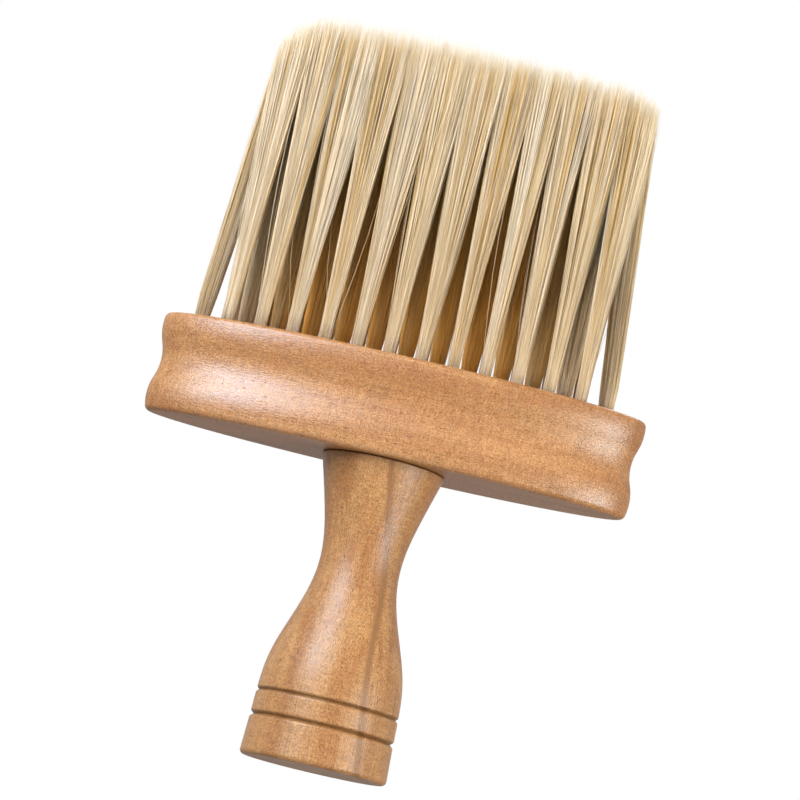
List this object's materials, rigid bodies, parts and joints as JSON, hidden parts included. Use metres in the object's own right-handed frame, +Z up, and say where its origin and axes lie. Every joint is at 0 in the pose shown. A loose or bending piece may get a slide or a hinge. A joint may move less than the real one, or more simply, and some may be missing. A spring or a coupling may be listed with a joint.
{
  "type": "neck duster brush",
  "caption": "Standing neck duster: a turned wooden handle with a flared foot under a coved oval wooden block that holds rows of long soft pale filament tufts.",
  "frame": {"origin": "centre of the handle's flat base, which the brush stands on", "axes": "+Z up along the handle towards the filament tips, +X along the block's length, +Y across its depth"},
  "size_m": [0.1052, 0.0314, 0.1591],
  "materials": {
    "handle_wood": "satin",
    "block_wood": "satin",
    "nylon_filament": "satin",
    "steel": "satin"
  },
  "bodies": {
    "root": {"handle": "handle_wood", "brush_block": "block_wood", "dowel_screw": "steel", "tuft_anchors": "steel", "tuft_back_01": "nylon_filament", "tuft_back_02": "nylon_filament", "tuft_back_03": "nylon_filament", "tuft_back_04": "nylon_filament", "tuft_back_05": "nylon_filament", "tuft_back_06": "nylon_filament", "tuft_back_07": "nylon_filament", "tuft_back_08": "nylon_filament", "tuft_back_09": "nylon_filament", "tuft_back_10": "nylon_filament", "tuft_back_11": "nylon_filament", "tuft_back_12": "nylon_filament", "tuft_end_01": "nylon_filament", "tuft_end_02": "nylon_filament", "tuft_front_01": "nylon_filament", "tuft_front_02": "nylon_filament", "tuft_front_03": "nylon_filament", "tuft_front_04": "nylon_filament", "tuft_front_05": "nylon_filament", "tuft_front_06": "nylon_filament", "tuft_front_07": "nylon_filament", "tuft_front_08": "nylon_filament", "tuft_front_09": "nylon_filament", "tuft_front_10": "nylon_filament", "tuft_front_11": "nylon_filament", "tuft_front_12": "nylon_filament", "tuft_middle_01": "nylon_filament", "tuft_middle_02": "nylon_filament", "tuft_middle_03": "nylon_filament", "tuft_middle_04": "nylon_filament", "tuft_middle_05": "nylon_filament", "tuft_middle_06": "nylon_filament", "tuft_middle_07": "nylon_filament", "tuft_middle_08": "nylon_filament", "tuft_middle_09": "nylon_filament", "tuft_middle_10": "nylon_filament", "tuft_middle_11": "nylon_filament"}
  },
  "joints": []
}
